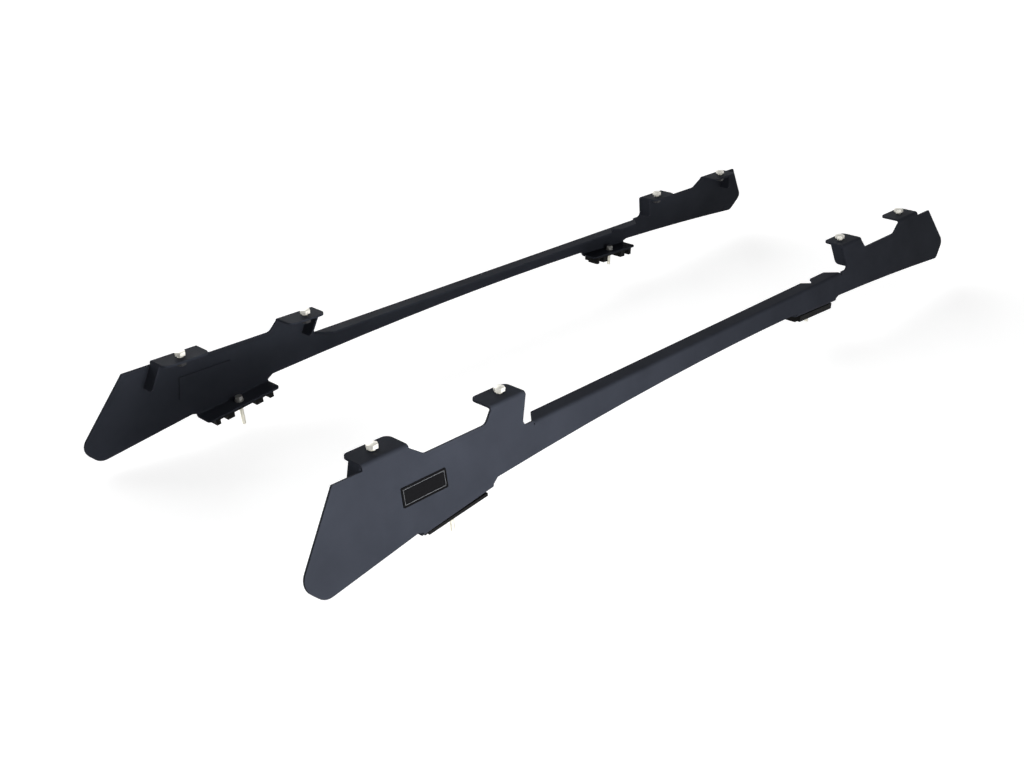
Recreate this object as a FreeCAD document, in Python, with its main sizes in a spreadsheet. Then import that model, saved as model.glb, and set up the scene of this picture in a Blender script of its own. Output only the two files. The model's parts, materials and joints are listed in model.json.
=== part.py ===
import FreeCAD, Part
import math
import os
import re
import Sketcher

# A pair of folded steel rails that carry a roof rack on a vehicle's roof. X runs along the
# vehicle, front at -X, Y runs across it and Z is up. The origin is the middle of the rack bolt
# layout, level with the tops of the rack tabs. Lengths are in millimetres, angles in degrees.

SIZES = {
    # Rack bolt layout
    "track": 370,
    "rack_middle": 800,
    "rack_pitch": 200,
    "bolt_inset": 20,
    # Sheet and folds
    "gauge": 3,
    "bend_inside": 2,
    "lean": 10,
    # Rack tabs: width across, and reach along the rail from each bolt
    "tab_width": 35,
    "outer_tab_outboard": 32,
    "outer_tab_inboard": 35,
    "inner_tab_outboard": 35.5,
    "inner_tab_inboard": 24.5,
    "tab_corner": 9,
    # Upper edge of the plate, measured down the leaning plate from the tab tops
    "nose_drop": 6.6,
    "dip_drop": 18.3,
    "slot_drop": 41,
    "outer_ramp": 21,
    "inner_ramp": 11,
    "post_slant": 18.5,
    "slot_round": 6,
    "dip_round": 10,
    # Mid flange between the two inner posts, with a notch that lets a tool down to the rear foot
    "mid_drop": 42.5,
    "mid_width": 22.5,
    "mid_gap": 9,
    "mid_bevel": 17,
    "slit": 2,
    "mid_notch": 294,
    "notch_reach": 11,
    "notch_floor": 6,
    # Nose at the front end, reaches measured from the outer bolt
    "nose_top": 73.5,
    "nose_reach": 134.5,
    "nose_tip_drop": 99.5,
    "nose_heel": 108,
    "nose_depth": 126.5,
    "nose_sill": 105,
    "nose_round": 20,
    # Tail at the rear end
    "tail_top": 74,
    "tail_reach": 123,
    "tail_tip_drop": 72.5,
    "tail_heel": 97,
    "tail_round": 12,
    # Lower edge, an arc that follows the roof
    "crown_x": 55,
    "crown_drop": 70.6,
    "roof_radius": 7430,
    # Feet, with the place of each along the rail
    "front_foot": 505.5,
    "rear_foot": 289,
    "front_foot_drop": 106.2,
    "rear_foot_drop": 82.7,
    "front_foot_slope": 6.8,
    "rear_foot_slope": -2.6,
    "foot_length": 116,
    "foot_width": 31,
    "foot_step": 8,
    "foot_corner": 5,
    "foot_bolt_inset": 17.5,
    # Gussets under the tabs
    "gusset_width": 19,
    "gusset_drop": 37,
    "gusset_corner": 7,
    # Rack bolts with their lock nuts
    "rack_bolt": 8,
    "rack_bolt_length": 12,
    "rack_head_flats": 13,
    "rack_head_height": 5.3,
    "rack_head_lift": 2.5,
    "rack_hole": 9,
    "rack_nut_height": 8,
    # Foot bolts with their washers
    "foot_bolt": 6,
    "front_foot_bolt_length": 40,
    "rear_foot_bolt_length": 30,
    "foot_waist": 5.4,
    "thread_gap": 2,
    "foot_head_flats": 10,
    "foot_head_height": 4,
    "foot_hole": 6.6,
    "foot_washer": 12.5,
    "foot_washer_height": 1.6,
    "spring_washer": 11,
    "spring_washer_height": 1.7,
    "spring_split": 1.2,
    # Play of every ring and pad on its bolt, on the radius
    "bolt_play": 0.15,
    # Castellated pads under the feet, each with a lower lip along its outer side
    "pad_width": 28,
    "pad_outer": 15.5,
    "pad_base": 2.5,
    "pad_lip": 8,
    "front_pad_height": 9,
    "rear_pad_height": 12,
    "front_lip_height": 4.5,
    "rear_lip_height": 9.5,
    "pad_gap": 36,
    "pad_block": 12,
    "pad_groove": 11,
    "pad_end": 7,
    # Badge on the left rail's outer face, and the plate behind it on both inner faces
    "badge_offset": 48,
    "badge_drop": 56.7,
    "badge_length": 68,
    "badge_height": 24,
    "badge_thickness": 1.2,
    "badge_rim": 1.6,
    "badge_recess": 0.4,
    "badge_round": 2,
    "backing_length": 80,
    "backing_height": 35,
    "backing_thickness": 1.5,
}

# Sizes that follow from the ones above
DERIVED = {
    "face_y": "track / 2 + bolt_inset",
    "inner_bolt": "rack_middle / 2",
    "outer_bolt": "rack_middle / 2 + rack_pitch",
    "bend_outside": "gauge + bend_inside",
    "top_tangent": "bend_outside * tan(45 - lean / 2)",
    "foot_tangent": "bend_outside * tan(45 + lean / 2)",
    "mid_edge": "mid_drop + top_tangent",
    "tab1_front": "-outer_bolt - outer_tab_outboard",
    "tab1_rear": "-outer_bolt + outer_tab_inboard",
    "tab2_front": "-inner_bolt - inner_tab_outboard",
    "tab2_rear": "-inner_bolt + inner_tab_inboard",
    "tab3_front": "inner_bolt - inner_tab_inboard",
    "tab3_rear": "inner_bolt + inner_tab_outboard",
    "tab4_front": "outer_bolt - outer_tab_inboard",
    "tab4_rear": "outer_bolt + outer_tab_outboard",
    "mid_front": "tab2_rear + mid_gap",
    "mid_rear": "tab3_front - mid_gap",
    "foot_stack": "gauge + foot_washer_height + spring_washer_height",
    "pad_reach": "pad_gap / 2 + pad_block + pad_groove + pad_end",
    "badge_x": "outer_bolt - badge_offset",
    "nose_bevel": "sqrt((nose_reach - nose_heel)^2 + (nose_depth - nose_tip_drop)^2)",
}

# Each tab with its bolt, the end that has a gusset, and the way the gusset leans along X
TABS = [
    ("tab1", "-outer_bolt", "front", -1),
    ("tab2", "-inner_bolt", "rear", -1),
    ("tab3", "inner_bolt", "front", 1),
    ("tab4", "outer_bolt", "rear", 1),
]
FEET = {
    "front": {"x": "-front_foot", "drop": "front_foot_drop", "slope": "front_foot_slope"},
    "rear": {"x": "rear_foot", "drop": "rear_foot_drop", "slope": "rear_foot_slope"},
}

X_AXIS = FreeCAD.Vector(1, 0, 0)
Y_AXIS = FreeCAD.Vector(0, 1, 0)
Z_AXIS = FreeCAD.Vector(0, 0, 1)

doc = FreeCAD.newDocument("foot_rails")
dims = doc.addObject("Spreadsheet::Sheet", "dims")
NODES = []


def fill_sheet():
    """Write the driving sizes, then the ones that follow, each in a named cell."""
    cells = [(name, str(size)) for name, size in SIZES.items()]
    cells += [(name, "=" + formula) for name, formula in DERIVED.items()]
    for row, (name, content) in enumerate(cells, start=1):
        dims.set(f"A{row}", name)
        dims.set(f"B{row}", content)
        dims.setAlias(f"B{row}", name)
    doc.recompute()


def tie(formula):
    """Point each size named in a formula at its cell."""
    names = SIZES.keys() | DERIVED.keys()
    return re.sub(r"[a-z]\w*", lambda word: ("dims." if word[0] in names else "") + word[0], formula)


def size(formula):
    """The number that a formula gives now."""
    return float(dims.evalExpression(tie(formula)))


def bind(thing, **formulas):
    """Tie properties to formulas; a double underscore stands for a dot in the property's path."""
    for path, formula in formulas.items():
        thing.setExpression(path.replace("__", "."), tie(formula))


def node(thing, name):
    """Name a finished sub-part."""
    thing.Label = name
    NODES.append(thing)
    return thing


def origin_plane(body, role):
    """One of a body's own origin planes."""
    return next(plane for plane in body.Origin.OriginFeatures if plane.Role == role)


def arc_between(start, stop, radius, side):
    """Arc from start to stop whose centre lies on the left (1) or right (-1) of the way there."""
    half = (stop - start) * 0.5
    left = FreeCAD.Vector(-half.y, half.x, 0).normalize()
    reach = math.sqrt(radius ** 2 - half.Length ** 2)
    centre = start + half + left * (side * reach)
    first, last = (start, stop) if side > 0 else (stop, start)
    angles = [math.atan2(point.y - centre.y, point.x - centre.x) for point in (first, last)]
    return Part.ArcOfCircle(Part.Circle(centre, Z_AXIS, radius), *angles)


def outline(body, name, plane, corners, arcs=None):
    """Closed sketch through corners given as pairs of formulas; arcs gives (radius, side) by edge."""
    arcs = arcs or {}
    sketch = body.newObject("Sketcher::SketchObject", name)
    sketch.AttachmentSupport = [(origin_plane(body, plane), "")]
    sketch.MapMode = "FlatFace"
    points = [FreeCAD.Vector(size(across), size(up), 0) for across, up in corners]
    edges = []
    rules = []
    formulas = []
    for index, start in enumerate(points):
        stop = points[(index + 1) % len(points)]
        if index in arcs:
            radius, side = arcs[index]
            edge = sketch.addGeometry(arc_between(start, stop, size(radius), side))
            edges.append((edge, 1, 2) if side > 0 else (edge, 2, 1))
            rules.append(Sketcher.Constraint("Radius", edge, size(radius)))
            formulas.append(radius)
        else:
            edges.append((sketch.addGeometry(Part.LineSegment(start, stop)), 1, 2))
    for (edge, begin, _), (across, up) in zip(edges, corners):
        rules.append(Sketcher.Constraint("DistanceX", -1, 1, edge, begin, size(across)))
        rules.append(Sketcher.Constraint("DistanceY", -1, 1, edge, begin, size(up)))
        formulas += [across, up]
    joints = []
    for (edge, _, end), (following, begin, _) in zip(edges, edges[1:] + edges[:1]):
        joints.append(Sketcher.Constraint("Coincident", edge, end, following, begin))
    sketch.addConstraint(joints)
    for rule, formula in zip(sketch.addConstraint(rules), formulas):
        sketch.setExpression(f"Constraints[{rule}]", tie(formula))
    return sketch


def pad(body, sketch, length, reversed_way=False, direction=None):
    """Thicken a sketch, square to it or along a slanting direction given as three formulas."""
    feature = body.newObject("PartDesign::Pad", sketch.Name + "_pad")
    feature.Profile = sketch
    feature.Reversed = reversed_way
    bind(feature, Length=length)
    if direction:
        feature.UseCustomVector = True
        bind(feature, Direction__x=direction[0], Direction__y=direction[1], Direction__z=direction[2])
    return feature


def edge_at(feature, *point):
    """Name of the edge whose middle is nearest to a point, which has to lie close to it."""
    target = FreeCAD.Vector(*point)
    gaps = [(edge.CenterOfMass - target).Length for edge in feature.Shape.Edges]
    nearest = gaps.index(min(gaps))
    if gaps[nearest] > SIZES["gauge"] / 2:
        raise ValueError(f"no edge of {feature.Name} near {target}")
    return f"Edge{nearest + 1}"


def round_edges(body, name, radius, points):
    """Fillet the edges of the body's last feature whose middles are given."""
    doc.recompute()
    base = body.Tip
    feature = body.newObject("PartDesign::Fillet", name)
    feature.Base = (base, [edge_at(base, *point) for point in points])
    bind(feature, Radius=radius)
    return feature


def lean_with_plate(thing):
    """Set a left-hand piece's frame on the plate: origin where its outer face meets the tab tops."""
    thing.Placement = FreeCAD.Placement(FreeCAD.Vector(), FreeCAD.Rotation(-X_AXIS, SIZES["lean"]))
    bind(thing, Placement__Base__y="-face_y", Placement__Rotation__Angle="lean")


def sill(place):
    """Height of the arched lower edge at a place along the rail."""
    return f"-crown_drop - roof_radius + sqrt(roof_radius^2 - ({place} - crown_x)^2)"


def foot_line(foot, reach):
    """Height of a foot's fold corner, reach along from the middle of the foot."""
    return f"-{foot['drop']} + ({reach}) * tan({foot['slope']})"


def foot_edge(foot, reach):
    """A corner of the plate where a foot's fold starts."""
    return f"{foot['x']} + {reach}", f"{foot_line(foot, reach)} + foot_tangent"


def plate_corners():
    """Corners of the flat plate, from the nose along the top to the tail and back underneath."""
    front, rear = FEET["front"], FEET["rear"]
    behind_rear = "rear_foot + foot_length / 2 + foot_step"
    before_rear = "rear_foot - foot_length / 2 - foot_step"
    behind_front = "-front_foot + foot_length / 2 + foot_step"
    return [
        ("-outer_bolt - nose_top", "-nose_drop"),
        ("tab1_front", "-nose_drop"),
        ("tab1_front", "-top_tangent"),
        ("tab1_rear", "-top_tangent"),
        ("tab1_rear + outer_ramp", "-dip_drop"),
        ("tab2_front - inner_ramp", "-dip_drop"),
        ("tab2_front", "-top_tangent"),
        ("tab2_rear", "-top_tangent"),
        ("tab2_rear - (slot_drop - top_tangent) * tan(post_slant)", "-slot_drop"),
        ("mid_front - slit", "-slot_drop"),
        ("mid_front - slit", "-mid_edge"),
        ("mid_rear + slit", "-mid_edge"),
        ("mid_rear + slit", "-slot_drop"),
        ("tab3_front + (slot_drop - top_tangent) * tan(post_slant)", "-slot_drop"),
        ("tab3_front", "-top_tangent"),
        ("tab3_rear", "-top_tangent"),
        ("tab3_rear + inner_ramp", "-dip_drop"),
        ("tab4_front - outer_ramp", "-dip_drop"),
        ("tab4_front", "-top_tangent"),
        ("tab4_rear", "-top_tangent"),
        ("tab4_rear", "-nose_drop"),
        ("outer_bolt + tail_top", "-nose_drop"),
        ("outer_bolt + tail_reach", "-tail_tip_drop"),
        ("outer_bolt + tail_heel", sill("outer_bolt + tail_heel")),
        (behind_rear, sill(behind_rear)),
        foot_edge(rear, "foot_length / 2"),
        foot_edge(rear, "-foot_length / 2"),
        (before_rear, sill(before_rear)),
        (behind_front, sill(behind_front)),
        foot_edge(front, "foot_length / 2"),
        foot_edge(front, "-foot_length / 2"),
        ("-front_foot - foot_length / 2 - foot_step", "-nose_sill"),
        ("-outer_bolt - nose_heel", "-nose_depth"),
        ("-outer_bolt - nose_reach", "-nose_tip_drop"),
    ]


def fold(body, name, start, length, corner, width, turn, slope="0"):
    """Bend and leg of one fold. It leaves the plate's top (turn 1) or foot (turn -1) and runs
    level across; corner is the height at start where the outer faces of plate and leg would meet."""
    tangent = "top_tangent" if turn > 0 else "foot_tangent"
    plate_end = f"{corner} - {turn} * {tangent}"
    inside = (f"{turn} * gauge * sin(lean)", f"{turn} * gauge * cos(lean)")
    corners = [
        ("0", plate_end),
        (f"{tangent} * cos(lean)", f"{corner} + {tangent} * sin(lean)"),
        (f"{width} * cos(lean)", f"{corner} + {width} * sin(lean)"),
        (f"{width} * cos(lean) + {inside[0]}", f"{corner} + {width} * sin(lean) - {inside[1]}"),
        (f"{tangent} * cos(lean) + {inside[0]}", f"{corner} + {tangent} * sin(lean) - {inside[1]}"),
        ("gauge", plate_end),
    ]
    bends = {0: ("bend_outside", -turn), 4: ("bend_inside", turn)}
    sketch = outline(body, name, "YZ_Plane", corners, bends)
    bind(sketch, AttachmentOffset__Base__z=start)
    return pad(body, sketch, length, direction=(f"cos({slope})", "0", f"sin({slope})"))


def gusset(body, name, end, way):
    """Slanted stiffener under one end of a tab, between plate and tab; way is its lean along X.
    Returns the middle of the short edge at its free lower corner."""
    top = "gauge * tan(lean) - gauge / 2"
    run = f"{way} * (gusset_drop + ({top})) * tan(post_slant)"
    inner = f"gauge / cos(post_slant) * {1 if end.endswith('front') else -1}"
    corners = [
        (end, top),
        (f"{end} + {inner}", top),
        (f"{end} + {inner} + {run}", "-gusset_drop"),
        (f"{end} + {run}", "-gusset_drop"),
    ]
    sketch = outline(body, name, "XZ_Plane", corners)
    bind(sketch, AttachmentOffset__Base__z="-gauge")
    pad(body, sketch, "gusset_width", direction=("0", "cos(lean)", "sin(lean)"))
    return (
        size(f"{end} + {inner} / 2 + {run}"),
        size("gauge + gusset_width"),
        size("-gusset_drop + gusset_width * tan(lean)"),
    )


def level_cut(body, name, corners, depth):
    """Cut through the mid flange, drawn in the level plane of its top."""
    sketch = outline(body, name, "XY_Plane", corners)
    sketch.AttachmentOffset = FreeCAD.Placement(FreeCAD.Vector(), FreeCAD.Rotation(X_AXIS, SIZES["lean"]))
    bind(sketch, AttachmentOffset__Base__z="-mid_drop", AttachmentOffset__Rotation__Angle="lean")
    feature = body.newObject("PartDesign::Pocket", name + "_cut")
    feature.Profile = sketch
    feature.SideType = "Symmetric"
    bind(feature, Length=depth)
    return feature


def leg_corner(end, corner, width, turn):
    """Middle of the short edge at a leg's free corner, in the plate's frame."""
    lean = math.radians(size("lean"))
    half = turn * size("gauge") / 2
    across = size(width)
    return (
        size(end),
        across * math.cos(lean) + half * math.sin(lean),
        size(corner) + across * math.sin(lean) - half * math.cos(lean),
    )


def rail_sheet():
    """The folded sheet of the left rail, before its bolt holes."""
    body = doc.addObject("PartDesign::Body", "rail_sheet")
    lean_with_plate(body)
    corners = plate_corners()
    sills = {23: ("roof_radius", 1), 27: ("roof_radius", 1)}
    plate = outline(body, "plate", "XZ_Plane", corners, sills)
    pad(body, plate, "gauge", True)
    for name, _, _, _ in TABS:
        fold(body, name, f"{name}_front", f"{name}_rear - {name}_front", "0", "tab_width", 1)
    fold(body, "mid", "mid_front", "mid_rear - mid_front", "-mid_drop", "mid_width", 1)
    for name, foot in FEET.items():
        start = f"{foot['x']} - foot_length / 2"
        corner = foot_line(foot, "-foot_length / 2")
        fold(body, name + "_foot", start, "foot_length", corner, "foot_width", -1, foot["slope"])
    tips = [gusset(body, name + "_gusset", f"{name}_{end}", way) for name, _, end, way in TABS]
    clear = "mid_width + gauge"
    mouth = "notch_floor / 2 + notch_reach + gauge"
    level_cut(body, "front_bevel", [
        ("mid_front - gauge", "mid_width - mid_bevel - gauge"),
        ("mid_front + mid_bevel + gauge", clear),
        ("mid_front - gauge", clear),
    ], "bend_outside * 2")
    level_cut(body, "rear_bevel", [
        ("mid_rear + gauge", "mid_width - mid_bevel - gauge"),
        ("mid_rear + gauge", clear),
        ("mid_rear - mid_bevel - gauge", clear),
    ], "bend_outside * 2")
    level_cut(body, "tool_notch", [
        ("mid_notch - notch_floor / 2", "mid_width - notch_reach"),
        ("mid_notch + notch_floor / 2", "mid_width - notch_reach"),
        (f"mid_notch + {mouth}", clear),
        (f"mid_notch - ({mouth})", clear),
    ], "bend_outside * 2")
    round_corners(body, corners)
    round_edges(body, "gusset_rounds", "gusset_corner", tips)
    return body


def round_corners(body, corners):
    """Round the plate's corners and the free corners of the tabs and feet."""
    def plate_points(*picks):
        middle = size("gauge / 2")
        return [(size(corners[pick][0]), middle, size(corners[pick][1])) for pick in picks]

    round_edges(body, "nose_rounds", "min(nose_round; nose_bevel * 0.55)", plate_points(32, 33))
    round_edges(body, "tail_rounds", "tail_round", plate_points(22, 23))
    round_edges(body, "slot_rounds", "slot_round", plate_points(8, 13))
    round_edges(body, "dip_rounds", "dip_round", plate_points(4, 5, 16, 17))
    tab_points = []
    for name, _, _, _ in TABS:
        tab_points.append(leg_corner(f"{name}_front", "0", "tab_width", 1))
        tab_points.append(leg_corner(f"{name}_rear", "0", "tab_width", 1))
    spare = "tab_width - gusset_width - gauge * 1.5"
    round_edges(body, "tab_rounds", f"min(tab_corner; {spare})", tab_points)
    foot_points = []
    for foot in FEET.values():
        for reach in ("-foot_length / 2", "foot_length / 2"):
            corner = foot_line(foot, reach)
            foot_points.append(leg_corner(f"{foot['x']} + {reach}", corner, "foot_width", -1))
    round_edges(body, "foot_rounds", "foot_corner", foot_points)


def solid(kind, name, **formulas):
    """A Part primitive with its sizes tied to formulas."""
    thing = doc.addObject("Part::" + kind, name)
    bind(thing, **formulas)
    return thing


def cut(name, base, tool):
    """Base less tool."""
    thing = doc.addObject("Part::Cut", name)
    thing.Base = base
    thing.Tool = tool
    return thing


def joined(name, pieces):
    """One solid from pieces that meet."""
    thing = doc.addObject("Part::MultiFuse", name)
    thing.Shapes = pieces
    thing.Refine = True
    return thing


def group(name, pieces):
    """Separate solids kept as one sub-part."""
    thing = doc.addObject("Part::Compound", name)
    thing.Links = pieces
    return thing


def at_tab(thing, place, height="0"):
    """Stand a piece on a rack bolt's axis, at a height from the tab tops."""
    bind(thing, Placement__Base__x=place, Placement__Base__y="-track / 2", Placement__Base__z=height)
    return thing


def at_foot(thing, foot):
    """Set a piece in a foot's frame: origin under the flange on the bolt's axis, Z square to it."""
    rises = size(foot["slope"]) > 0
    turn = FreeCAD.Rotation(-Y_AXIS if rises else Y_AXIS, 1)
    thing.Placement = FreeCAD.Placement(FreeCAD.Vector(), turn)
    bind(
        thing,
        Placement__Base__x=foot["x"],
        Placement__Base__y=f"-face_y - {foot['drop']} * sin(lean) + foot_bolt_inset",
        Placement__Base__z=f"-{foot['drop']} * cos(lean)",
        Placement__Rotation__Angle=f"atan(tan(abs({foot['slope']})) * cos(lean))",
    )
    return thing


def foot_drill(name, foot):
    """Rod of a foot's bolt hole, square through its flange."""
    rod = solid("Cylinder", name + "_rod", Radius="foot_hole / 2", Height="gauge * 3")
    bind(rod, Placement__Base__z="-gauge")
    return at_foot(group(name + "_drill", [rod]), foot)


def left_rail():
    """The left rail with its rack and foot bolt holes."""
    drills = []
    for name, place, _, _ in TABS:
        drill = solid("Cylinder", name + "_drill", Radius="rack_hole / 2", Height="gauge * 3")
        drills.append(at_tab(drill, place, "-gauge * 2"))
    drills += [foot_drill(name, foot) for name, foot in FEET.items()]
    return node(cut("left_rail", rail_sheet(), joined("drills", drills)), "left_rail")


def hexagon(name, flats, height, base):
    """Hexagonal block standing at the height base."""
    block = solid("Prism", name, Circumradius=f"{flats} / 2 / cos(30)", Height=height)
    block.Polygon = 6
    bind(block, Placement__Base__z=base)
    return block


def rod(name, diameter, height, base):
    """Cylinder on Z, standing at the height base."""
    thing = solid("Cylinder", name, Radius=f"({diameter}) / 2", Height=height)
    bind(thing, Placement__Base__z=base)
    return thing


def ring(name, outer, height, base):
    """Washer of an outer diameter that slides on a foot bolt, lying at the height base."""
    disc = rod(name + "_disc", outer, height, base)
    return cut(name, disc, rod(name + "_hole", "foot_bolt + 2 * bolt_play", height, base))


def lock_nut(name):
    """Lock nut tight on a rack bolt, under its tab."""
    foot = "-gauge - rack_nut_height"
    block = hexagon(name + "_block", "rack_head_flats", "rack_nut_height", foot)
    return cut(name, block, rod(name + "_bore", "rack_bolt", "rack_nut_height", foot))


def rack_hardware():
    """Bolt and lock nut of every tab, each kind kept as one sub-part."""
    bolts, nuts = [], []
    for name, place, _, _ in TABS:
        head = hexagon(name + "_head", "rack_head_flats", "rack_head_height", "rack_head_lift")
        shank = rod(name + "_shank", "rack_bolt", "rack_bolt_length", "rack_head_lift - rack_bolt_length")
        bolts.append(at_tab(joined(name + "_bolt", [head, shank]), place))
        nuts.append(at_tab(lock_nut(name + "_nut"), place))
    node(group("rack_bolts", bolts), "left_rack_bolts")
    node(group("rack_nuts", nuts), "left_rack_nuts")


def foot_bolt(name, length, pad_height):
    """Bolt with a plain waist through the foot and its pad, and a full thread below the pad."""
    head = hexagon(name + "_head", "foot_head_flats", "foot_head_height", "foot_stack")
    thread_top = f"{pad_height} + thread_gap"
    waist = rod(name + "_waist", "foot_waist", f"foot_stack + {thread_top}", f"-({thread_top})")
    thread_length = f"{length} - foot_stack - ({thread_top})"
    thread = rod(name + "_thread", "foot_bolt", thread_length, f"foot_stack - {length}")
    return joined(name, [head, waist, thread])


def foot_hardware():
    """Bolt of each foot, and their flat and spring washers."""
    flats, springs = [], []
    for name, foot in FEET.items():
        bolt = foot_bolt(name + "_foot_bolt", name + "_foot_bolt_length", name + "_pad_height")
        node(at_foot(bolt, foot), f"left_{name}_foot_bolt")
        flat = ring(name + "_flat_washer", "foot_washer", "foot_washer_height", "gauge")
        flats.append(at_foot(flat, foot))
        base = "gauge + foot_washer_height"
        coil = ring(name + "_coil", "spring_washer", "spring_washer_height", base)
        split = solid("Box", name + "_split", Length="spring_washer", Width="spring_split")
        bind(split, Height="spring_washer_height")
        bind(split, Placement__Base__y="-spring_split / 2", Placement__Base__z=base)
        springs.append(at_foot(cut(name + "_spring_washer", coil, split), foot))
    node(group("foot_washers", flats), "left_foot_washers")
    node(group("foot_springs", springs), "left_foot_spring_washers")


def pad_corners(height):
    """Castellated side of a pad: four blocks below a thin base, with a wide gap for the bolt."""
    inner, outer = "pad_gap / 2", "pad_gap / 2 + pad_block"
    end = "pad_reach - pad_end"
    blocks = [
        ("-pad_reach", f"-({end})"),
        (f"-({outer})", f"-({inner})"),
        (inner, outer),
        (end, "pad_reach"),
    ]
    corners = [("-pad_reach", "0")]
    for start, stop in blocks:
        corners += [(start, "-pad_base"), (start, f"-{height}"), (stop, f"-{height}"), (stop, "-pad_base")]
    corners.append(("pad_reach", "0"))
    corners.remove(("-pad_reach", "-pad_base"))
    corners.remove(("pad_reach", "-pad_base"))
    return corners


def foot_pad(name, foot):
    """Castellated pad under one foot, with a lip along its outer side and a hole for the bolt."""
    lip_height = name + "_lip_height"
    body = doc.addObject("PartDesign::Body", name + "_pad_body")
    blocks = outline(body, name + "_blocks", "XZ_Plane", pad_corners(name + "_pad_height"))
    lip = outline(body, name + "_lip", "XZ_Plane", [
        ("-pad_reach", "0"),
        ("-pad_reach", f"-{lip_height}"),
        ("pad_reach", f"-{lip_height}"),
        ("pad_reach", "0"),
    ])
    bind(blocks, AttachmentOffset__Base__z="pad_outer - pad_lip")
    pad(body, blocks, "pad_width - pad_lip", True)
    bind(lip, AttachmentOffset__Base__z="pad_outer")
    pad(body, lip, "pad_lip", True)
    hole = rod(name + "_pad_hole", "foot_bolt + 2 * bolt_play", "pad_base", "-pad_base")
    node(at_foot(cut(name + "_pad", body, hole), foot), f"left_{name}_pad")


def rectangle(body, name, length, height, offset):
    """Rectangle parallel to the plate, centred on the badge's place."""
    left, right = f"-badge_x - ({length}) / 2", f"-badge_x + ({length}) / 2"
    low, high = f"-badge_drop - ({height}) / 2", f"-badge_drop + ({height}) / 2"
    sketch = outline(body, name, "XZ_Plane", [(left, low), (right, low), (right, high), (left, high)])
    bind(sketch, AttachmentOffset__Base__z=offset)
    return sketch


def badge():
    """Round-cornered badge with a raised rim, outside the left rail."""
    body = doc.addObject("PartDesign::Body", "badge")
    lean_with_plate(body)
    pad(body, rectangle(body, "badge_edge", "badge_length", "badge_height", "0"), "badge_thickness")
    corners = []
    for along in (-0.5, 0.5):
        for up in (-0.5, 0.5):
            place = size(f"-badge_x + badge_length * {along}")
            corners.append((place, size("-badge_thickness / 2"), size(f"-badge_drop + badge_height * {up}")))
    round_edges(body, "badge_rounds", "badge_round", corners)
    inset = "2 * badge_rim"
    recess = body.newObject("PartDesign::Pocket", "badge_recess")
    recess.Profile = rectangle(
        body, "badge_field", f"badge_length - {inset}", f"badge_height - {inset}", "badge_thickness",
    )
    bind(recess, Length="badge_recess")
    node(body, "left_badge")


def badge_backing():
    """Thin plate on the inner face, behind the badge's place."""
    body = doc.addObject("PartDesign::Body", "backing")
    lean_with_plate(body)
    sketch = rectangle(body, "backing_edge", "backing_length", "backing_height", "-gauge")
    pad(body, sketch, "backing_thickness", True)
    node(body, "left_badge_backing")


def mirror_right(left_only):
    """Right-hand copy of every left-hand sub-part except those named."""
    for thing in list(NODES):
        if thing.Label in left_only:
            continue
        twin = doc.addObject("Part::Mirroring", "right_" + thing.Name)
        twin.Source = thing
        twin.Normal = Y_AXIS
        node(twin, thing.Label.replace("left_", "right_"))


def write_parts():
    """Check every object and every sub-part's shape, then write one file for each sub-part."""
    doc.recompute()
    failed = [thing.Name for thing in doc.Objects if {"Invalid", "Error"} & set(thing.State)]
    failed += [thing.Label for thing in NODES if thing.Shape.isNull() or not thing.Shape.isValid()]
    if failed:
        raise RuntimeError("failed: " + ", ".join(failed))
    os.makedirs("parts", exist_ok=True)
    for thing in NODES:
        thing.Shape.exportStep(f"parts/{thing.Label}.step")


fill_sheet()
left_rail()
rack_hardware()
foot_hardware()
for foot_name, foot_place in FEET.items():
    foot_pad(foot_name, foot_place)
badge()
badge_backing()
mirror_right({"left_badge"})
write_parts()
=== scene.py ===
import json
import math

import bpy
from bpy.props import FloatProperty, FloatVectorProperty, PointerProperty
from bpy.types import Operator, Panel, PropertyGroup
from mathutils import Matrix, Vector


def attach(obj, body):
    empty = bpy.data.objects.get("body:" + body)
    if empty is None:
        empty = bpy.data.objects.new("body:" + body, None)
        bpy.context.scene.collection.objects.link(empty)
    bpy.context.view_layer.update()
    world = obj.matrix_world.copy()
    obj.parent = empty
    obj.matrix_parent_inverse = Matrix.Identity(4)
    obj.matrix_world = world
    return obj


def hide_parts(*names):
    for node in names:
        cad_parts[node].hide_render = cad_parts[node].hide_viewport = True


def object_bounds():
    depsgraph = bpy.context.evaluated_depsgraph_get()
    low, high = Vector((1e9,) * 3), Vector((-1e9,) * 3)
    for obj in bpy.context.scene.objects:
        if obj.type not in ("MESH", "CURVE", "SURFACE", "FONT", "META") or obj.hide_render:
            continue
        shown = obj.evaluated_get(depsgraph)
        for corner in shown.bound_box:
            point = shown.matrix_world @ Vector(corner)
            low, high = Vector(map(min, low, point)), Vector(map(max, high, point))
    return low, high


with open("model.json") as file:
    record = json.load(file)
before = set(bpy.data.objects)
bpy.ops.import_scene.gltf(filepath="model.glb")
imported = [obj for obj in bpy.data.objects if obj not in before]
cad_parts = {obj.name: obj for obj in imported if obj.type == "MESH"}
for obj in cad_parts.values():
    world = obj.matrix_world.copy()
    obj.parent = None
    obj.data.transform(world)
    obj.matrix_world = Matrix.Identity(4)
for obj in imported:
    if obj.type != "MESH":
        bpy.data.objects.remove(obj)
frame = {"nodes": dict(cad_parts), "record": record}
CAD_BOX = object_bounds()

bl_info = {
    "name": "Roof rack foot rails",
    "version": (1, 0, 0),
    "blender": (4, 5, 0),
    "location": "View3D > Sidebar > Foot rails",
    "description": "Dresses a pair of folded roof rack foot rails and sets them on a studio stage",
    "category": "Object",
}

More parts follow.
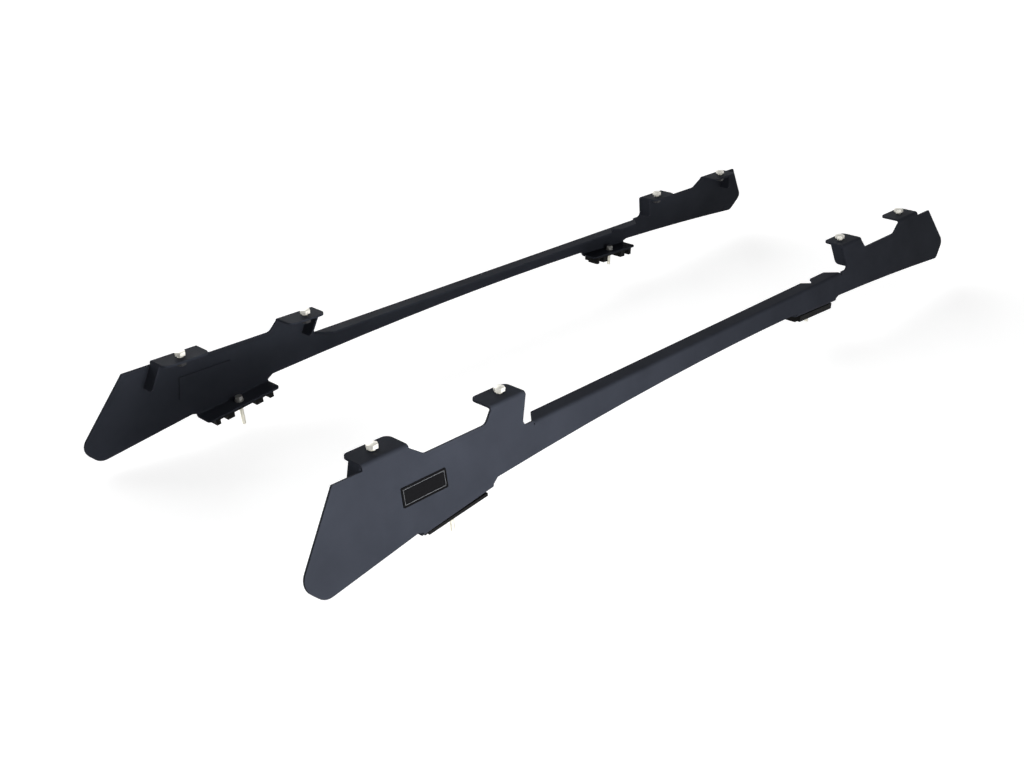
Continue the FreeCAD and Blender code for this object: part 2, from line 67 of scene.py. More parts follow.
SIDES = ("left", "right")
ENDS = ("front", "rear")
BODY = "root"
PHOTO_WIDTH = 1024
SENSOR_WIDTH = 36.0
MERGE = 0.00001
FINE_MERGE = MERGE / 10
CUT_MERGE = MERGE / 100
LEVEL = 0.99
FLAT_ANGLE = math.radians(0.5)
SHARP_ANGLE = math.radians(35)
SMOOTH_ANGLE = math.radians(32)
SOLID_GAP = 0.02
UP = Vector((0, 0, 1))

# Fasteners: shares of the flats, of the corners' radius, of the pitch, of the rod's width and of the head
TURNED_RADIUS = 0.4845
TURNED_OUTSIDE = 1.02
THREAD_DEPTH = 0.6
THREAD_TIP = 0.5
TIP_WIDTH = 0.8
HEAD_SINK = 0.4

# Corners round a full turn, and turns to spare that the rod's ends are cut from
TURNED_CORNERS = 48
BORE_CORNERS = 32
THREAD_CORNERS = 20
SPARE_TURNS = 3

# A Mix node's sockets for colours
FIRST_COLOUR, SECOND_COLOUR, MIXED_COLOUR = 6, 7, 2
NOISE_ROUGHNESS = 0.55

# Stage, in metres, with strengths in the lamps' own units
FLOOR_SIZE = 60.0
VIEW_REACH = 100.0
SUN_ANGLE = math.radians(80)
SUNS = (
    dict(name="overhead", strength=0.35, tilt=math.radians(6)),
    dict(name="back_fill", strength=3.2, tilt=math.radians(-76)),
)
SOFTBOX_HEIGHT = 0.2
SOFTBOXES = (
    dict(name="near_softbox", width=0.9, power=10.6, spread=math.radians(110),
         place=Vector((-0.57, -1.3, -0.02)), target=Vector((-0.57, -0.22, -0.06))),
    dict(name="far_softbox", width=0.2, power=0.1, spread=math.radians(36),
         place=Vector((-0.35, -0.7, 0.3)), target=Vector((-0.5, 0.2, -0.06))),
)


# Modelling helpers

def choose_none():
    """Leave edit mode with nothing selected."""
    if bpy.context.mode != "OBJECT":
        bpy.ops.object.mode_set(mode="OBJECT")
    bpy.ops.object.select_all(action="DESELECT")


def choose(piece):
    """Leave edit mode and make one piece the only selected and active object."""
    choose_none()
    piece.select_set(True)
    bpy.context.view_layer.objects.active = piece


def edit_faces(piece, test):
    """Enter edit mode on a piece with only the faces that pass a test selected."""
    choose(piece)
    bpy.ops.object.mode_set(mode="EDIT")
    bpy.ops.mesh.select_mode(type="FACE")
    bpy.ops.mesh.select_all(action="DESELECT")
    bpy.ops.object.mode_set(mode="OBJECT")
    for face in piece.data.polygons:
        face.select = test(face)
    bpy.ops.object.mode_set(mode="EDIT")


def edit_edges(piece, test):
    """Enter edit mode on a piece with only the edges that pass a test selected."""
    choose(piece)
    bpy.ops.object.mode_set(mode="EDIT")
    bpy.ops.mesh.select_mode(type="EDGE")
    bpy.ops.mesh.select_all(action="DESELECT")
    bpy.ops.object.mode_set(mode="OBJECT")
    for edge in piece.data.edges:
        edge.select = test(edge)
    bpy.ops.object.mode_set(mode="EDIT")


def edit_all(piece):
    """Enter edit mode on a piece with all of it selected."""
    choose(piece)
    bpy.ops.object.mode_set(mode="EDIT")
    bpy.ops.mesh.select_all(action="SELECT")


def apply_modifier(piece, kind, **settings):
    """Give a piece a modifier with these settings and apply it."""
    choose(piece)
    modifier = piece.modifiers.new(kind.lower(), kind)
    for name, value in settings.items():
        setattr(modifier, name, value)
    bpy.ops.object.modifier_apply(modifier=modifier.name)


def add_cylinder(vertices, radius, low, high):
    """A capped cylinder on the Z axis between two heights."""
    choose_none()
    bpy.ops.mesh.primitive_cylinder_add(
        vertices=vertices, radius=radius, depth=high - low, location=(0, 0, (low + high) / 2))
    bpy.ops.object.transform_apply(location=True)
    return bpy.context.object


def combine(piece, tool, operation):
    """Combine a piece with a tool piece, which is used up."""
    apply_modifier(piece, "BOOLEAN", operation=operation, object=tool, solver="EXACT")
    bpy.data.objects.remove(tool)


def taper_end(piece, side, length, share):
    """Draw a flat end out by a length to a share of its width; side is 1 for the top, -1 for the bottom."""
    reach = max(side * vertex.co.z for vertex in piece.data.vertices)
    edit_faces(piece, lambda face: side * face.normal.z > LEVEL and side * face.center.z > reach - MERGE)
    bpy.ops.mesh.extrude_region_move(TRANSFORM_OT_translate={"value": (0, 0, side * length)})
    bpy.ops.transform.resize(value=(share, share, 1), center_override=(0, 0, 0))
    bpy.ops.object.mode_set(mode="OBJECT")


def joined(pieces, name):
    """Pieces joined into one of a new name."""
    choose(pieces[0])
    for piece in pieces[1:]:
        piece.select_set(True)
    bpy.ops.object.join()
    pieces[0].name = pieces[0].data.name = name
    return pieces[0]


def stood(pattern, point, axis, turn):
    """A copy of a pattern made along Z, stood on a point along an axis, with its place in its own mesh."""
    piece = bpy.data.objects.new(pattern.name, pattern.data.copy())
    bpy.context.scene.collection.objects.link(piece)
    lean = axis.to_track_quat("Z", "Y").to_matrix().to_4x4()
    piece.matrix_world = Matrix.Translation(point) @ lean @ Matrix.Rotation(turn, 4, "Z")
    choose(piece)
    bpy.ops.object.transform_apply(location=True, rotation=True, scale=True)
    return piece


def softened(node, name, width, segments=2):
    """A copy of a CAD node, merged, with its sharp edges rounded as a finish leaves them."""
    piece = bpy.data.objects.new(name, frame["nodes"][node].data.copy())
    bpy.context.scene.collection.objects.link(piece)
    piece.data.materials.clear()
    edit_all(piece)
    bpy.ops.mesh.customdata_custom_splitnormals_clear()
    bpy.ops.mesh.remove_doubles(threshold=MERGE)
    bpy.ops.mesh.dissolve_limited(angle_limit=FLAT_ANGLE)
    apply_modifier(piece, "BEVEL", width=width, segments=segments, limit_method="ANGLE",
                   angle_limit=SHARP_ANGLE, use_clamp_overlap=False, miter_outer="MITER_ARC")
    bpy.ops.object.shade_smooth_by_angle(angle=SMOOTH_ANGLE)
    apply_modifier(piece, "WEIGHTED_NORMAL", mode="FACE_AREA", weight=100, keep_sharp=True)
    return piece


def dressed(piece, material, slot, *nodes):
    """Give a piece its finish and let it stand for CAD nodes on the rails' body."""
    piece.data.materials.clear()
    piece.data.materials.append(material)
    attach(piece, BODY)
    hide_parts(*nodes)


def solids_along(node):
    """The corner points of each of a node's solids, in order along X."""
    points = sorted((vertex.co.copy() for vertex in frame["nodes"][node].data.vertices), key=lambda p: p.x)
    groups = [points[:1]]
    for point in points[1:]:
        if point.x - groups[-1][-1].x > SOLID_GAP:
            groups.append([])
        groups[-1].append(point)
    return groups


def middle(values):
    """Halfway between the least and the greatest value."""
    return (min(values) + max(values)) / 2


def rise(points):
    """How far points reach along Z."""
    heights = [point.z for point in points]
    return max(heights) - min(heights)


def corner_turn(points, centre, axis):
    """How far a hexagon's corner is turned round an axis, for a pattern with a corner along X."""
    lean = axis.to_track_quat("Z", "Y").to_matrix().inverted()
    flat = [lean @ (point - centre) for point in points]
    corner = max(flat, key=lambda point: point.x ** 2 + point.y ** 2)
    return math.atan2(corner.y, corner.x)


# Fastener patterns, all along Z

def hexagon(flats, height, chamfer, ends):
    """A hexagon standing on z = 0, its corners turned down to a chamfer at one or both ends."""
    corner = flats / math.sqrt(3)
    outside = TURNED_OUTSIDE * corner
    low = chamfer if -1 in ends else 0.0
    turned = add_cylinder(TURNED_CORNERS, outside, low, height - chamfer)
    for side in ends:
        taper_end(turned, side, chamfer, TURNED_RADIUS * flats / outside)
    block = add_cylinder(6, corner, -chamfer, height + chamfer)
    edit_all(block)
    bpy.ops.transform.rotate(value=math.pi / 6, orient_axis="Z", center_override=(0, 0, 0))
    combine(block, turned, "INTERSECT")
    return block


def threaded_rod(radius, pitch, length):
    """A rod with a screw thread, hanging from z = 0 and tapered at its tip."""
    choose_none()
    bpy.ops.mesh.primitive_circle_add(vertices=5, radius=radius)
    rod = bpy.context.object
    root = radius - THREAD_DEPTH * pitch
    crest = ((radius, pitch * 9 / 16), (radius, pitch * 11 / 16))
    profile = ((root, 0), (root, pitch / 4), *crest, (root, pitch))
    for vertex, (out, up) in zip(rod.data.vertices, profile):
        vertex.co = (out, 0, up)
    edit_edges(rod, lambda edge: set(edge.vertices) == {0, 4})
    bpy.ops.mesh.delete(type="EDGE")
    turns = math.ceil(length / pitch) + SPARE_TURNS
    apply_modifier(rod, "SCREW", axis="Z", angle=math.tau, screw_offset=pitch, iterations=turns,
                   steps=THREAD_CORNERS, render_steps=THREAD_CORNERS,
                   use_merge_vertices=True, merge_threshold=FINE_MERGE)
    edit_all(rod)
    bpy.ops.mesh.remove_doubles(threshold=FINE_MERGE)
    bpy.ops.mesh.normals_make_consistent(inside=False)
    bpy.ops.transform.translate(value=(0, 0, -(turns - 1) * pitch))
    tip = THREAD_TIP * pitch
    for height, side in ((0.0, 1), (tip - length, -1)):
        bpy.ops.mesh.select_all(action="SELECT")
        bpy.ops.mesh.bisect(plane_co=(0, 0, height), plane_no=(0, 0, side), use_fill=True,
                            clear_outer=True, threshold=CUT_MERGE)
    taper_end(rod, -1, tip, TIP_WIDTH)
    return rod


def bolt(flats, head, chamfer, radius, pitch, length):
    """A hexagon-head bolt whose head stands on z = 0."""
    sunk = HEAD_SINK * head
    rod = threaded_rod(radius, pitch, length + sunk)
    edit_all(rod)
    bpy.ops.transform.translate(value=(0, 0, sunk))
    return joined([hexagon(flats, head, chamfer, (1,)), rod], "bolt_pattern")


# Material helpers

class Nodes:
    """The node tree of a material or a world, with short calls to add and join nodes."""

    def __init__(self, owner, shader="Principled BSDF", place="Object"):
        self.owner = owner
        owner.use_nodes = True
        self.tree = owner.node_tree
        self.shader = self.tree.nodes[shader]
        self.place = self.add("ShaderNodeTexCoord").outputs[place]

    def add(self, kind, **settings):
        node = self.tree.nodes.new(kind)
        for name, value in settings.items():
            setattr(node, name, value)
        return node

    def join(self, output, socket):
        self.tree.links.new(output, socket)

    def set(self, **values):
        for name, value in values.items():
            self.shader.inputs[name.replace("_", " ")].default_value = value

    def noise(self, scale, detail, stretch=(1, 1, 1)):
        """Noise over the piece's own place in metres, drawn out along an axis where asked."""
        mapping = self.add("ShaderNodeMapping")
        mapping.inputs["Scale"].default_value = stretch
        self.join(self.place, mapping.inputs["Vector"])
        noise = self.add("ShaderNodeTexNoise")
        noise.inputs["Scale"].default_value = scale
        noise.inputs["Detail"].default_value = detail
        noise.inputs["Roughness"].default_value = NOISE_ROUGHNESS
        self.join(mapping.outputs["Vector"], noise.inputs["Vector"])
        return noise.outputs["Fac"]

    def spread(self, factor, low, high, from_low=0.3, from_high=0.7):
        """A factor's middle range spread between two numbers."""
        node = self.add("ShaderNodeMapRange")
        ends = {"From Min": from_low, "From Max": from_high, "To Min": low, "To Max": high}
        for name, value in ends.items():
            node.inputs[name].default_value = value
        self.join(factor, node.inputs["Value"])
        return node.outputs["Result"]

    def mix(self, factor, first, second):
        """Two colours mixed by a factor."""
        node = self.add("ShaderNodeMix", data_type="RGBA")
        node.inputs[FIRST_COLOUR].default_value = (*first, 1.0)
        node.inputs[SECOND_COLOUR].default_value = (*second, 1.0)
        self.join(factor, node.inputs["Factor"])
        return node.outputs[MIXED_COLOUR]

    def bump(self, height, distance, strength, onto=None):
        """A fine relief of a depth in metres, laid onto another where asked."""
        node = self.add("ShaderNodeBump")
        node.inputs["Strength"].default_value = strength
        node.inputs["Distance"].default_value = distance
        self.join(height, node.inputs["Height"])
        if onto is not None:
            self.join(onto, node.inputs["Normal"])
        return node.outputs["Normal"]


def toned(colour, share, lift=0.0):
    """A colour made lighter or darker by a share, then lifted."""
    return tuple(channel * share + lift for channel in colour)


def powder_coat(name, colour, sheen):
    """Satin blue-black powder coat: fine orange peel, faint mottling, an even soft gloss."""
    nodes = Nodes(bpy.data.materials.new(name))
    mottle = nodes.noise(scale=14.0, detail=4.0)
    tone = nodes.mix(nodes.spread(mottle, low=0.0, high=1.0), toned(colour, share=0.8), colour)
    nodes.join(tone, nodes.shader.inputs["Base Color"])
    satin = nodes.spread(nodes.noise(scale=60.0, detail=2.0), low=0.36, high=0.43)
    nodes.join(satin, nodes.shader.inputs["Roughness"])
    peel = nodes.bump(nodes.noise(scale=900.0, detail=2.0), distance=0.00012, strength=0.3)
    grain = nodes.bump(nodes.noise(scale=3200.0, detail=1.0), distance=0.00003, strength=0.3, onto=peel)
    nodes.join(grain, nodes.shader.inputs["Normal"])
    nodes.set(IOR=1.5, Specular_IOR_Level=0.006, Specular_Tint=(*sheen, 1.0))
    return nodes.owner


def black_oxide(name, colour):
    """Blackened steel nuts: dull, slightly patchy, finely scratched."""
    nodes = Nodes(bpy.data.materials.new(name))
    patch = nodes.spread(nodes.noise(scale=260.0, detail=3.0), low=0.0, high=1.0)
    nodes.join(nodes.mix(patch, colour, toned(colour, share=1.8)), nodes.shader.inputs["Base Color"])
    dulness = nodes.spread(nodes.noise(scale=500.0, detail=2.0), low=0.38, high=0.52)
    nodes.join(dulness, nodes.shader.inputs["Roughness"])
    scratches = nodes.bump(nodes.noise(scale=1200.0, detail=2.0), distance=0.00004, strength=0.35)
    nodes.join(scratches, nodes.shader.inputs["Normal"])
    nodes.set(Specular_IOR_Level=0.35)
    return nodes.owner


def stainless(name, colour):
    """Turned stainless steel with fine scratches and a few duller patches."""
    nodes = Nodes(bpy.data.materials.new(name))
    patch = nodes.spread(nodes.noise(scale=220.0, detail=3.0), low=0.0, high=1.0)
    nodes.join(nodes.mix(patch, toned(colour, share=0.86), colour), nodes.shader.inputs["Base Color"])
    polish = nodes.spread(nodes.noise(scale=500.0, detail=3.0), low=0.3, high=0.42)
    nodes.join(polish, nodes.shader.inputs["Roughness"])
    scratches = nodes.noise(scale=900.0, detail=2.0, stretch=(1.0, 1.0, 6.0))
    nodes.join(nodes.bump(scratches, distance=0.00005, strength=0.35), nodes.shader.inputs["Normal"])
    nodes.set(Metallic=0.6)
    return nodes.owner


def moulded_rubber(name, colour):
    """Moulded black rubber: fine pebble grain and dusty lighter patches."""
    nodes = Nodes(bpy.data.materials.new(name))
    dust = nodes.spread(nodes.noise(scale=45.0, detail=5.0), low=0.0, high=0.5)
    dusty = toned(colour, share=1.9, lift=0.001)
    nodes.join(nodes.mix(dust, colour, dusty), nodes.shader.inputs["Base Color"])
    wear = nodes.spread(nodes.noise(scale=160.0, detail=2.0), low=0.5, high=0.66)
    nodes.join(wear, nodes.shader.inputs["Roughness"])
    pebble = nodes.bump(nodes.noise(scale=1400.0, detail=2.0), distance=0.0001, strength=0.5)
    nodes.join(pebble, nodes.shader.inputs["Normal"])
    nodes.set(Specular_IOR_Level=0.06)
    return nodes.owner


def badge_plastic(name, colour):
    """Flat plastic with a fine even grain."""
    nodes = Nodes(bpy.data.materials.new(name))
    speckle = nodes.spread(nodes.noise(scale=700.0, detail=2.0), low=0.0, high=1.0)
    nodes.join(nodes.mix(speckle, colour, toned(colour, share=1.4)), nodes.shader.inputs["Base Color"])
    gloss = nodes.spread(nodes.noise(scale=80.0, detail=2.0), low=0.4, high=0.5)
    nodes.join(gloss, nodes.shader.inputs["Roughness"])
    grain = nodes.bump(nodes.noise(scale=2500.0, detail=1.0), distance=0.00004, strength=0.4)
    nodes.join(grain, nodes.shader.inputs["Normal"])
    nodes.set(Specular_IOR_Level=0.012)
    return nodes.owner


def studio_white(name, grey, lift):
    """Matt paper that the camera, gloss and glass see lifted to white, with a pale shadow left on it."""
    nodes = Nodes(bpy.data.materials.new(name))
    nodes.set(Base_Color=(grey, grey, grey, 1.0), Roughness=1.0, Specular_IOR_Level=0.0)
    nodes.set(Emission_Color=(1.0, 1.0, 1.0, 1.0))
    rays = nodes.add("ShaderNodeLightPath").outputs
    seen = rays["Is Camera Ray"]
    for other in ("Is Glossy Ray", "Is Transmission Ray"):
        either = nodes.add("ShaderNodeMath", operation="MAXIMUM")
        nodes.join(seen, either.inputs[0])
        nodes.join(rays[other], either.inputs[1])
        seen = either.outputs["Value"]
    strength = nodes.spread(seen, low=0.0, high=lift, from_low=0.0, from_high=1.0)
    nodes.join(strength, nodes.shader.inputs["Emission Strength"])
    return nodes.owner


# User settings

class FinishSettings(PropertyGroup):
    coat: FloatVectorProperty(
        name="Powder coat", description="Colour of the rails", subtype="COLOR",
        default=(0.0285, 0.0315, 0.0405), min=0.0, max=1.0,
    )
    coat_sheen: FloatVectorProperty(
        name="Coat sheen", description="Colour of the light that the coat's gloss gives back",
        subtype="COLOR", default=(0.8, 0.86, 1.0), min=0.0, max=1.0,
    )
    steel: FloatVectorProperty(
        name="Stainless", description="Colour of the rack bolts and the studs", subtype="COLOR",
        default=(0.92, 0.9, 0.82), min=0.0, max=1.0,
    )
    # Painted shade: a darker grey for the foot bolts' heads and washers, standing in for the shade they sit
    # in.
    painted_shade_grey: FloatVectorProperty(
        name="Zinc", description="Colour of the foot bolts' duller heads and washers", subtype="COLOR",
        default=(0.3, 0.3, 0.285), min=0.0, max=1.0,
    )
    nut: FloatVectorProperty(
        name="Nuts", description="Colour of the blackened nuts", subtype="COLOR",
        default=(0.008, 0.008, 0.009), min=0.0, max=1.0,
    )
    rubber: FloatVectorProperty(
        name="Rubber", description="Colour of the foot pads", subtype="COLOR",
        default=(0.003, 0.003, 0.003), min=0.0, max=1.0,
    )
    badge: FloatVectorProperty(
        name="Badge", description="Colour of the bare badge", subtype="COLOR",
        default=(0.004, 0.004, 0.0045), min=0.0, max=1.0,
    )
    badge_line: FloatVectorProperty(
        name="Badge line", description="Colour of the line round the badge", subtype="COLOR",
        default=(0.1, 0.104, 0.11), min=0.0, max=1.0,
    )


class ShapeSettings(PropertyGroup):
    plate_edge: FloatProperty(
        name="Plate edge", description="Rounding that the coat leaves on the backing plates' edges",
        unit="LENGTH", default=0.0003,
    )
    rubber_edge: FloatProperty(
        name="Pad edge", description="Rounding of the moulded pads' edges", unit="LENGTH", default=0.0006,
    )
    washer_edge: FloatProperty(
        name="Washer edge", description="Rounding of the washers' stamped edges", unit="LENGTH",
        default=0.00015,
    )
    rack_flats: FloatProperty(
        name="Rack bolt flats", description="Width of the rack bolts' heads and nuts across flats",
        unit="LENGTH", default=0.013,
    )
    rack_head: FloatProperty(
        name="Rack bolt head", description="Height of the rack bolts' heads", unit="LENGTH", default=0.0053,
    )
    rack_radius: FloatProperty(
        name="Rack bolt radius", description="Outer radius of the rack bolts' thread", unit="LENGTH",
        default=0.004,
    )
    rack_pitch: FloatProperty(
        name="Rack bolt pitch", description="Pitch of the rack bolts' thread", unit="LENGTH", default=0.00125,
    )
    foot_flats: FloatProperty(
        name="Foot bolt flats", description="Width of the foot bolts' heads across flats", unit="LENGTH",
        default=0.01,
    )
    foot_head: FloatProperty(
        name="Foot bolt head", description="Height of the foot bolts' heads", unit="LENGTH", default=0.004,
    )
    foot_radius: FloatProperty(
        name="Foot bolt radius", description="Outer radius of the foot bolts' thread", unit="LENGTH",
        default=0.003,
    )
    foot_pitch: FloatProperty(
        name="Foot bolt pitch", description="Pitch of the foot bolts' thread", unit="LENGTH", default=0.001,
    )
    badge_border: FloatProperty(
        name="Badge border", description="Width of the badge's edge outside its line", unit="LENGTH",
        default=0.0011,
    )
    badge_line_width: FloatProperty(
        name="Badge line width", description="Width of the line round the badge", unit="LENGTH",
        default=0.00045,
    )
    chamfer: FloatProperty(
        name="Hexagon chamfer", description="Height of the turned chamfer on heads and nuts", unit="LENGTH",
        default=0.0007,
    )


class StageSettings(PropertyGroup):
    camera_place: FloatVectorProperty(
        name="Camera place", description="Where the camera stands", subtype="TRANSLATION", unit="LENGTH",
        default=(-1.362593, -1.107885, 0.625643),
    )
    camera_turn: FloatProperty(
        name="Camera turn", description="Angle of the view round Z, from looking along Y", subtype="ANGLE",
        default=math.radians(-46.866),
    )
    camera_tilt: FloatProperty(
        name="Camera tilt", description="Angle of the view below the horizon", subtype="ANGLE",
        default=math.radians(24.748),
    )
    focal_pixels: FloatProperty(
        name="Focal length", description="Focal length in pixels of the photograph's frame", default=1233.88,
    )
    paper_grey: FloatProperty(
        name="Paper grey", description="How much light the floor's paper gives back", default=0.6,
    )
    paper_lift: FloatProperty(
        name="Paper lift", description="What is added to the paper where it is seen, up to white",
        default=0.72,
    )
    sky_white: FloatProperty(
        name="White up to", description="How high the surroundings are white, with 1 overhead", default=0.35,
    )
    sky_dark: FloatProperty(
        name="Dark from", description="How high the surroundings turn dark, with 1 overhead", default=0.6,
    )
    sky_overhead: FloatProperty(
        name="Overhead", description="Strength of the surroundings overhead", default=0.22,
    )
    sky_light: FloatProperty(
        name="Light share", description="Share of the surroundings' strength that lights the rails",
        default=0.3,
    )


# Operators

class FOOTRAILS_OT_rails(Operator):
    """Coat the folded rails, and the plates behind the badge with their edges rounded"""
    bl_idname = "footrails.rails"
    bl_label = "Rails"

    def execute(self, context):
        finish, shape = context.scene.footrails_finish, context.scene.footrails_shape
        coat = powder_coat("blue_black_coat", finish.coat, finish.coat_sheen)
        for side in SIDES:
            slots = frame["nodes"][f"{side}_rail"].data.materials
            slots.clear()
            slots.append(coat)
            node = f"{side}_badge_backing"
            dressed(softened(node, f"{node}_coated", shape.plate_edge), coat, "rail_paint", node)
        return {"FINISHED"}


class FOOTRAILS_OT_rack_bolts(Operator):
    """Model the rack bolts and nuts once and stand them in the tabs"""
    bl_idname = "footrails.rack_bolts"
    bl_label = "Rack bolts and nuts"

    def execute(self, context):
        finish, shape = context.scene.footrails_finish, context.scene.footrails_shape
        steel = stainless("rack_bolt_steel", finish.steel)
        black = black_oxide("black_nut", finish.nut)
        bolt_rise = rise(solids_along("left_rack_bolts")[0])
        pattern = bolt(shape.rack_flats, shape.rack_head, shape.chamfer, shape.rack_radius, shape.rack_pitch,
                       bolt_rise - shape.rack_head)
        nut_rise = rise(solids_along("left_rack_nuts")[0])
        nut = hexagon(shape.rack_flats, nut_rise, shape.chamfer, (1, -1))
        bore = add_cylinder(BORE_CORNERS, shape.rack_radius, -nut_rise, 2 * nut_rise)
        combine(nut, bore, "DIFFERENCE")
        for side in SIDES:
            self.stand(f"{side}_rack_bolts", pattern, lambda ps: max(p.z for p in ps) - shape.rack_head,
                       steel, "hardware")
            self.stand(f"{side}_rack_nuts", nut, lambda ps: min(p.z for p in ps), black, "rail_paint")
        for used in (pattern, nut):
            bpy.data.objects.remove(used)
        return {"FINISHED"}

    def stand(self, node, pattern, height, material, slot):
        """Stand a copy of a pattern in each of a node's solids."""
        copies = []
        for points in solids_along(node):
            centre = Vector((middle([p.x for p in points]), middle([p.y for p in points]), height(points)))
            copies.append(stood(pattern, centre, UP, corner_turn(points, centre, UP)))
        piece = joined(copies, f"{node}_set")
        bpy.ops.object.shade_smooth_by_angle(angle=SMOOTH_ANGLE)
        dressed(piece, material, slot, node)


class FOOTRAILS_OT_foot_bolts(Operator):
    """Model each foot bolt with its thread, and round the washers under its head"""
    bl_idname = "footrails.foot_bolts"
    bl_label = "Foot bolts and washers"

    def execute(self, context):
        finish, shape = context.scene.footrails_finish, context.scene.footrails_shape
        steel = stainless("foot_bolt_steel", finish.steel)
        # Painted shade: a darker copy of the steel for the foot bolts' heads and washers.
        painted_shade_grey = stainless("painted_shade_steel", finish.painted_shade_grey)
        studs = {mount["name"]: mount for mount in frame["record"]["mounts"]}
        for side in SIDES:
            for end in ENDS:
                self.stand(f"{side}_{end}_foot_bolt", studs[f"{side}_{end}_foot_stud"], shape, steel, painted_shade_grey)
            # The washers take the darker copy too: painted shade.
            for node in (f"{side}_foot_washers", f"{side}_foot_spring_washers"):
                dressed(softened(node, f"{node}_set", shape.washer_edge, 1), painted_shade_grey, "hardware", node)
        return {"FINISHED"}

    def stand(self, node, stud, shape, steel, painted_shade_grey):
        """Stand one bolt on its stud's axis, its head, darkened as painted shade, where the CAD's is."""
        axis, place = -Vector(stud["axis"]), Vector(stud["pos_m"])
        points = [vertex.co for vertex in frame["nodes"][node].data.vertices]
        heights = [(point - place).dot(axis) for point in points]
        seat = max(heights) - shape.foot_head
        pattern = bolt(shape.foot_flats, shape.foot_head, shape.chamfer, shape.foot_radius, shape.foot_pitch,
                       seat - min(heights))
        piece = stood(pattern, place + axis * seat, axis, corner_turn(points, place, axis))
        bpy.data.objects.remove(pattern)
        piece.name = piece.data.name = f"{node}_threaded"
        bpy.ops.object.shade_smooth_by_angle(angle=SMOOTH_ANGLE)
        dressed(piece, steel, "hardware", node)
        # The head's faces take the darker copy: painted shade.
        piece.data.materials.append(painted_shade_grey)
        for face in piece.data.polygons:
            face.material_index = int((face.center - place).dot(axis) > seat - MERGE)


class FOOTRAILS_OT_pads(Operator):
    """Round the edges of the moulded foot pads and finish them"""
    bl_idname = "footrails.pads"
    bl_label = "Foot pads"

    def execute(self, context):
        rubber = moulded_rubber("pad_rubber", context.scene.footrails_finish.rubber)
        width = context.scene.footrails_shape.rubber_edge
        for side in SIDES:
            for end in ENDS:
                node = f"{side}_{end}_pad"
                dressed(softened(node, f"{node}_moulded", width), rubber, "pad_rubber", node)
        return {"FINISHED"}


class FOOTRAILS_OT_badge(Operator):
    """Round the bare badge and line its face"""
    bl_idname = "footrails.badge"
    bl_label = "Badge"

    def execute(self, context):
        finish, shape = context.scene.footrails_finish, context.scene.footrails_shape
        piece = softened("left_badge", "left_badge_plate", shape.washer_edge, 1)
        dressed(piece, badge_plastic("badge_plastic", finish.badge), "badge_face", "left_badge")
        piece.data.materials.append(badge_plastic("badge_line", finish.badge_line))
        field = max(piece.data.polygons, key=lambda face: face.area * -face.normal.y).index
        edit_faces(piece, lambda face: face.index == field)
        bpy.ops.mesh.inset(thickness=shape.badge_border)
        piece.active_material_index = 1
        bpy.ops.object.material_slot_assign()
        bpy.ops.mesh.inset(thickness=shape.badge_line_width)
        piece.active_material_index = 0
        bpy.ops.object.material_slot_assign()
        bpy.ops.object.mode_set(mode="OBJECT")
        return {"FINISHED"}


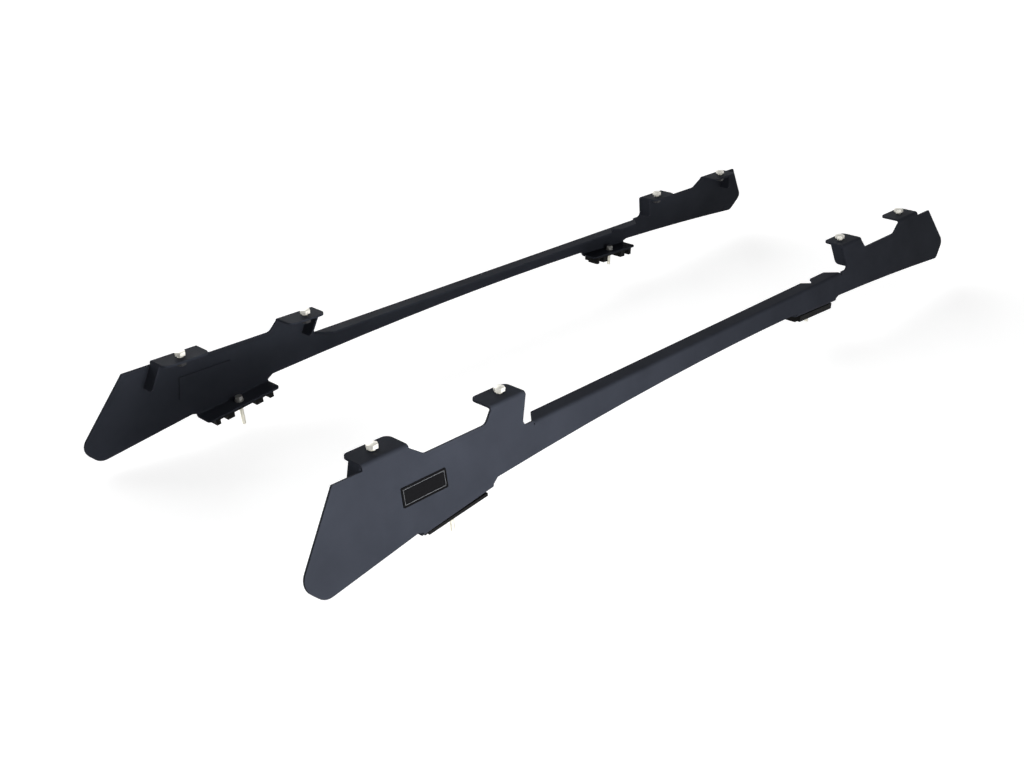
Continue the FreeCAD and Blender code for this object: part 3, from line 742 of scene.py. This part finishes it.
class FOOTRAILS_OT_stage(Operator):
    """Set the floor, the light and the camera"""
    bl_idname = "footrails.stage"
    bl_label = "Stage"

    def execute(self, context):
        settings = context.scene.footrails_stage
        self.floor(CAD_BOX[0][2], settings)
        self.world(context.scene, settings)
        self.lamps(context.scene)
        self.camera(context.scene, settings)
        context.scene.view_settings.view_transform = "Standard"
        return {"FINISHED"}

    def floor(self, height, settings):
        choose_none()
        bpy.ops.mesh.primitive_plane_add(size=FLOOR_SIZE, location=(0.0, 0.0, height))
        floor = bpy.context.object
        floor.name = "floor"
        bpy.ops.object.transform_apply(location=True)
        floor.data.materials.append(studio_white("studio_paper", settings.paper_grey, settings.paper_lift))

    def world(self, scene, settings):
        """White round the horizon and darker overhead, dimmer as a light than as the white that is seen."""
        nodes = Nodes(bpy.data.worlds.new("studio"), "Background", "Generated")
        split = nodes.add("ShaderNodeSeparateXYZ")
        nodes.join(nodes.place, split.inputs["Vector"])
        fade = nodes.spread(split.outputs["Z"], low=1.0, high=settings.sky_overhead,
                            from_low=settings.sky_white, from_high=settings.sky_dark)
        diffuse = nodes.add("ShaderNodeLightPath").outputs["Is Diffuse Ray"]
        dim = nodes.spread(diffuse, low=1.0, high=settings.sky_light, from_low=0.0, from_high=1.0)
        level = nodes.add("ShaderNodeMath", operation="MULTIPLY")
        nodes.join(fade, level.inputs[0])
        nodes.join(dim, level.inputs[1])
        nodes.set(Color=(1.0, 1.0, 1.0, 1.0))
        nodes.join(level.outputs["Value"], nodes.shader.inputs["Strength"])
        scene.world = nodes.owner

    def lamps(self, scene):
        """Two wide suns, and a softbox before each rail's front."""
        for lamp in SUNS:
            sun = bpy.data.lights.new(lamp["name"], "SUN")
            sun.energy = lamp["strength"]
            sun.angle = SUN_ANGLE
            thing = bpy.data.objects.new(lamp["name"], sun)
            thing.rotation_euler = (lamp["tilt"], 0.0, 0.0)
            scene.collection.objects.link(thing)
        for lamp in SOFTBOXES:
            box = bpy.data.lights.new(lamp["name"], "AREA")
            box.shape = "RECTANGLE"
            box.size, box.size_y = lamp["width"], SOFTBOX_HEIGHT
            box.energy = lamp["power"]
            box.spread = lamp["spread"]
            thing = bpy.data.objects.new(lamp["name"], box)
            thing.location = lamp["place"]
            thing.rotation_euler = (lamp["target"] - lamp["place"]).to_track_quat("-Z", "Y").to_euler()
            thing.visible_camera = False
            scene.collection.objects.link(thing)

    def camera(self, scene, settings):
        data = bpy.data.cameras.new("camera")
        data.sensor_fit = "HORIZONTAL"
        data.sensor_width = SENSOR_WIDTH
        data.lens = settings.focal_pixels / PHOTO_WIDTH * SENSOR_WIDTH
        data.clip_end = VIEW_REACH
        camera = bpy.data.objects.new("camera", data)
        camera.location = settings.camera_place
        camera.rotation_euler = (math.pi / 2 - settings.camera_tilt, 0.0, settings.camera_turn)
        scene.collection.objects.link(camera)
        scene.camera = camera


class FOOTRAILS_PT_panel(Panel):
    """Lists the settings and the steps that dress the rails"""
    bl_idname = "FOOTRAILS_PT_panel"
    bl_label = "Foot rails"
    bl_space_type = "VIEW_3D"
    bl_region_type = "UI"
    bl_category = "Foot rails"

    def draw(self, context):
        scene = context.scene
        for settings in (scene.footrails_finish, scene.footrails_shape, scene.footrails_stage):
            for name in settings.__annotations__:
                self.layout.prop(settings, name)
        for step in STEPS:
            self.layout.operator(step.bl_idname)


STEPS = (
    FOOTRAILS_OT_rails,
    FOOTRAILS_OT_rack_bolts,
    FOOTRAILS_OT_foot_bolts,
    FOOTRAILS_OT_pads,
    FOOTRAILS_OT_badge,
    FOOTRAILS_OT_stage,
)
CLASSES = (FinishSettings, ShapeSettings, StageSettings, *STEPS, FOOTRAILS_PT_panel)


def register():
    for cls in CLASSES:
        bpy.utils.register_class(cls)
    bpy.types.Scene.footrails_finish = PointerProperty(type=FinishSettings)
    bpy.types.Scene.footrails_shape = PointerProperty(type=ShapeSettings)
    bpy.types.Scene.footrails_stage = PointerProperty(type=StageSettings)


def unregister():
    del bpy.types.Scene.footrails_stage
    del bpy.types.Scene.footrails_shape
    del bpy.types.Scene.footrails_finish
    for cls in reversed(CLASSES):
        bpy.utils.unregister_class(cls)


def main():
    register()
    bpy.ops.footrails.rails()
    bpy.ops.footrails.rack_bolts()
    bpy.ops.footrails.foot_bolts()
    bpy.ops.footrails.pads()
    bpy.ops.footrails.badge()
    bpy.ops.footrails.stage()


if __name__ == "__main__":
    main()
